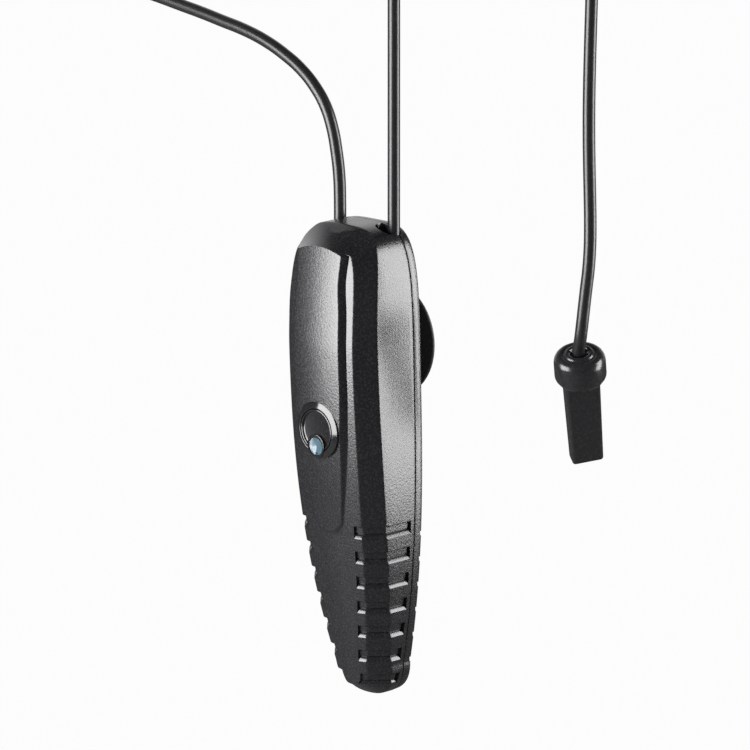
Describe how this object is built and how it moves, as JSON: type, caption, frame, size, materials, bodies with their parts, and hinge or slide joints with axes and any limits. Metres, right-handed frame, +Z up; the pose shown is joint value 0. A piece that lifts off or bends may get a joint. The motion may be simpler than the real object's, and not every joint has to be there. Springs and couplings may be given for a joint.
{
  "type": "aquarium thermostat controller",
  "caption": "Drop-shaped thermostat controller on a suction cup, with a dial, a raised front panel, grip grooves, a supply lead with a barrel plug and a lead to a temperature probe.",
  "frame": {"origin": "centre of the suction cup's face, on the outside of the glass", "axes": "+Y out of the cup's face, into the tank; +Z up; -Y is the housing's front"},
  "size_m": [0.2819, 0.0619, 0.2697],
  "materials": {
    "housing": "fine speckled satin",
    "gloss_black": "polished",
    "lens_blue": "translucent, polished",
    "rubber_black": "satin",
    "cord_black": "semi-gloss",
    "moulding_black": "satin",
    "probe_black": "semi-gloss",
    "steel": "zinc plated",
    "nickel": "nickel plated",
    "board_green": "solder mask",
    "chip_black": "moulded",
    "pot_blue": "moulded",
    "capacitor_blue": "sleeved",
    "resistor_tan": "lacquered",
    "led_clear": "clear",
    "header_ivory": "moulded",
    "wire_red": "insulated",
    "resin": "cast"
  },
  "bodies": {
    "housing": {"front_shell": "housing", "rear_cover": "housing", "seam_gasket": "rubber_black", "cover_screws": "steel", "dial_bezel": "gloss_black", "pot_body": "pot_blue", "circuit_board": "board_green", "board_screws": "steel", "control_chip": "chip_black", "output_transistor": "chip_black", "capacitors": "capacitor_blue", "resistors": "resistor_tan", "status_led": "led_clear", "supply_header": "header_ivory", "sensor_header": "header_ivory", "supply_wires": "wire_red", "sensor_wires": "wire_red", "supply_cord_end": "cord_black", "sensor_cord_end": "cord_black", "supply_lead": "cord_black", "supply_coil": "cord_black", "supply_tail": "cord_black", "supply_tie": "moulding_black", "plug_relief": "moulding_black", "plug_body": "moulding_black", "plug_barrel": "nickel", "plug_insulator": "gloss_black", "plug_contact": "nickel", "sensor_lead": "cord_black", "sensor_coil": "cord_black", "sensor_drop": "cord_black", "sensor_tie": "moulding_black", "probe_cap": "probe_black", "probe_sleeve": "probe_black", "probe_potting": "resin", "thermistor": "chip_black", "thermistor_legs": "steel"},
    "dial": {"dial_knob": "gloss_black", "knob_pointer": "lens_blue", "pot_shaft": "steel"},
    "cup": {"suction_cup": "rubber_black"}
  },
  "joints": [
    {"name": "dial_turn", "type": "hinge", "parent": "housing", "child": "dial", "pos_m": [0, -0.02939, -0.02205], "axis": [0, -0.9996, -0.0279], "range_deg": [-135, 135]},
    {"name": "cup_swivel", "type": "hinge", "parent": "housing", "child": "cup", "pos_m": [0, -0.006, 0], "axis": [0, 1, 0], "continuous": true}
  ]
}
